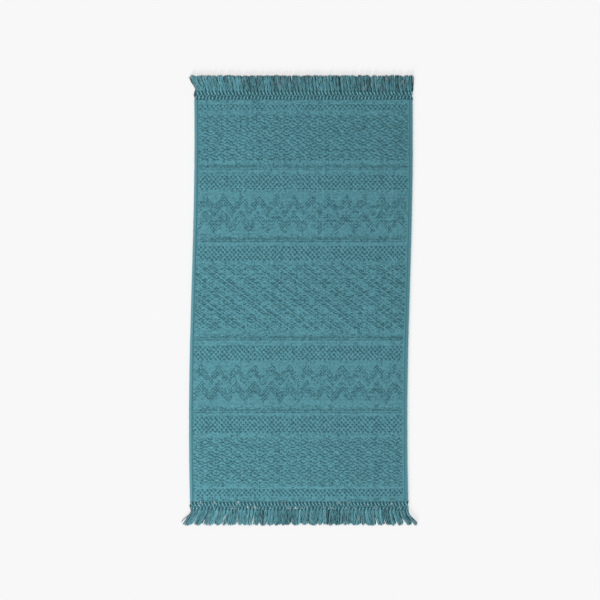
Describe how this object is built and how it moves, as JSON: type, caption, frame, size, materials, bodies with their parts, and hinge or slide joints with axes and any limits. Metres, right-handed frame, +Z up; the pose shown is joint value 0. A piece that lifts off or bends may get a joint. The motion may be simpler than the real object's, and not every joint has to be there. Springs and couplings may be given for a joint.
{
  "type": "bath towel",
  "caption": "Rectangular cotton bath towel, woven in one colour with raised dotted, rib, diamond and zigzag bands, sewn side hems, knotted headings and cut fringes.",
  "frame": {"origin": "middle of the towel's outline as it lies flat, on the surface it lies on", "axes": "+Y along the towel towards its head end, +X across it to the right, +Z up out of the patterned face"},
  "size_m": [0.7456, 1.4478, 0.005],
  "materials": {
    "woven_cotton": "matte woven cotton",
    "hem_cotton": "matte woven cotton, turned and sewn",
    "sewing_thread": "matte spun thread",
    "knotted_yarn": "matte knotted cotton yarn",
    "fringe_yarn": "matte loose cotton yarn"
  },
  "bodies": {
    "lower_middle": {"lower_middle_panel": "woven_cotton", "lower_middle_left_hem": "hem_cotton", "lower_middle_right_hem": "hem_cotton", "lower_middle_left_hem_stitches": "sewing_thread", "lower_middle_right_hem_stitches": "sewing_thread"},
    "upper_middle": {"upper_middle_panel": "woven_cotton", "upper_middle_left_hem": "hem_cotton", "upper_middle_right_hem": "hem_cotton", "upper_middle_left_hem_stitches": "sewing_thread", "upper_middle_right_hem_stitches": "sewing_thread"},
    "head_end": {"head_panel": "woven_cotton", "head_left_hem": "hem_cotton", "head_right_hem": "hem_cotton", "head_left_hem_stitches": "sewing_thread", "head_right_hem_stitches": "sewing_thread", "head_inner_knot_row": "knotted_yarn", "head_outer_knot_row": "knotted_yarn"},
    "foot_end": {"foot_panel": "woven_cotton", "foot_left_hem": "hem_cotton", "foot_right_hem": "hem_cotton", "foot_left_hem_stitches": "sewing_thread", "foot_right_hem_stitches": "sewing_thread", "foot_inner_knot_row": "knotted_yarn", "foot_outer_knot_row": "knotted_yarn"},
    "head_fringe": {"head_tassels_1": "fringe_yarn", "head_tassels_2": "fringe_yarn", "head_tassels_3": "fringe_yarn", "head_tassels_4": "fringe_yarn", "head_tassels_5": "fringe_yarn", "head_tassels_6": "fringe_yarn", "head_tassels_7": "fringe_yarn"},
    "foot_fringe": {"foot_tassels_1": "fringe_yarn", "foot_tassels_2": "fringe_yarn", "foot_tassels_3": "fringe_yarn", "foot_tassels_4": "fringe_yarn", "foot_tassels_5": "fringe_yarn", "foot_tassels_6": "fringe_yarn", "foot_tassels_7": "fringe_yarn"}
  },
  "joints": [
    {"name": "middle_fold", "type": "hinge", "parent": "lower_middle", "child": "upper_middle", "pos_m": [0, 0, 0.015], "axis": [1, 0, 0], "range_deg": [0, 180]},
    {"name": "head_fold", "type": "hinge", "parent": "upper_middle", "child": "head_end", "pos_m": [0, 0.36395, 0.0074], "axis": [1, 0, 0], "range_deg": [0, 180]},
    {"name": "foot_fold", "type": "hinge", "parent": "lower_middle", "child": "foot_end", "pos_m": [0, -0.36395, 0.0074], "axis": [-1, 0, 0], "range_deg": [0, 180]},
    {"name": "head_fringe_fold", "type": "hinge", "parent": "head_end", "child": "head_fringe", "pos_m": [0, 0.67375, 0.0047], "axis": [1, 0, 0], "range_deg": [0, 180]},
    {"name": "foot_fringe_fold", "type": "hinge", "parent": "foot_end", "child": "foot_fringe", "pos_m": [0, -0.67375, 0.0047], "axis": [-1, 0, 0], "range_deg": [0, 180]}
  ]
}
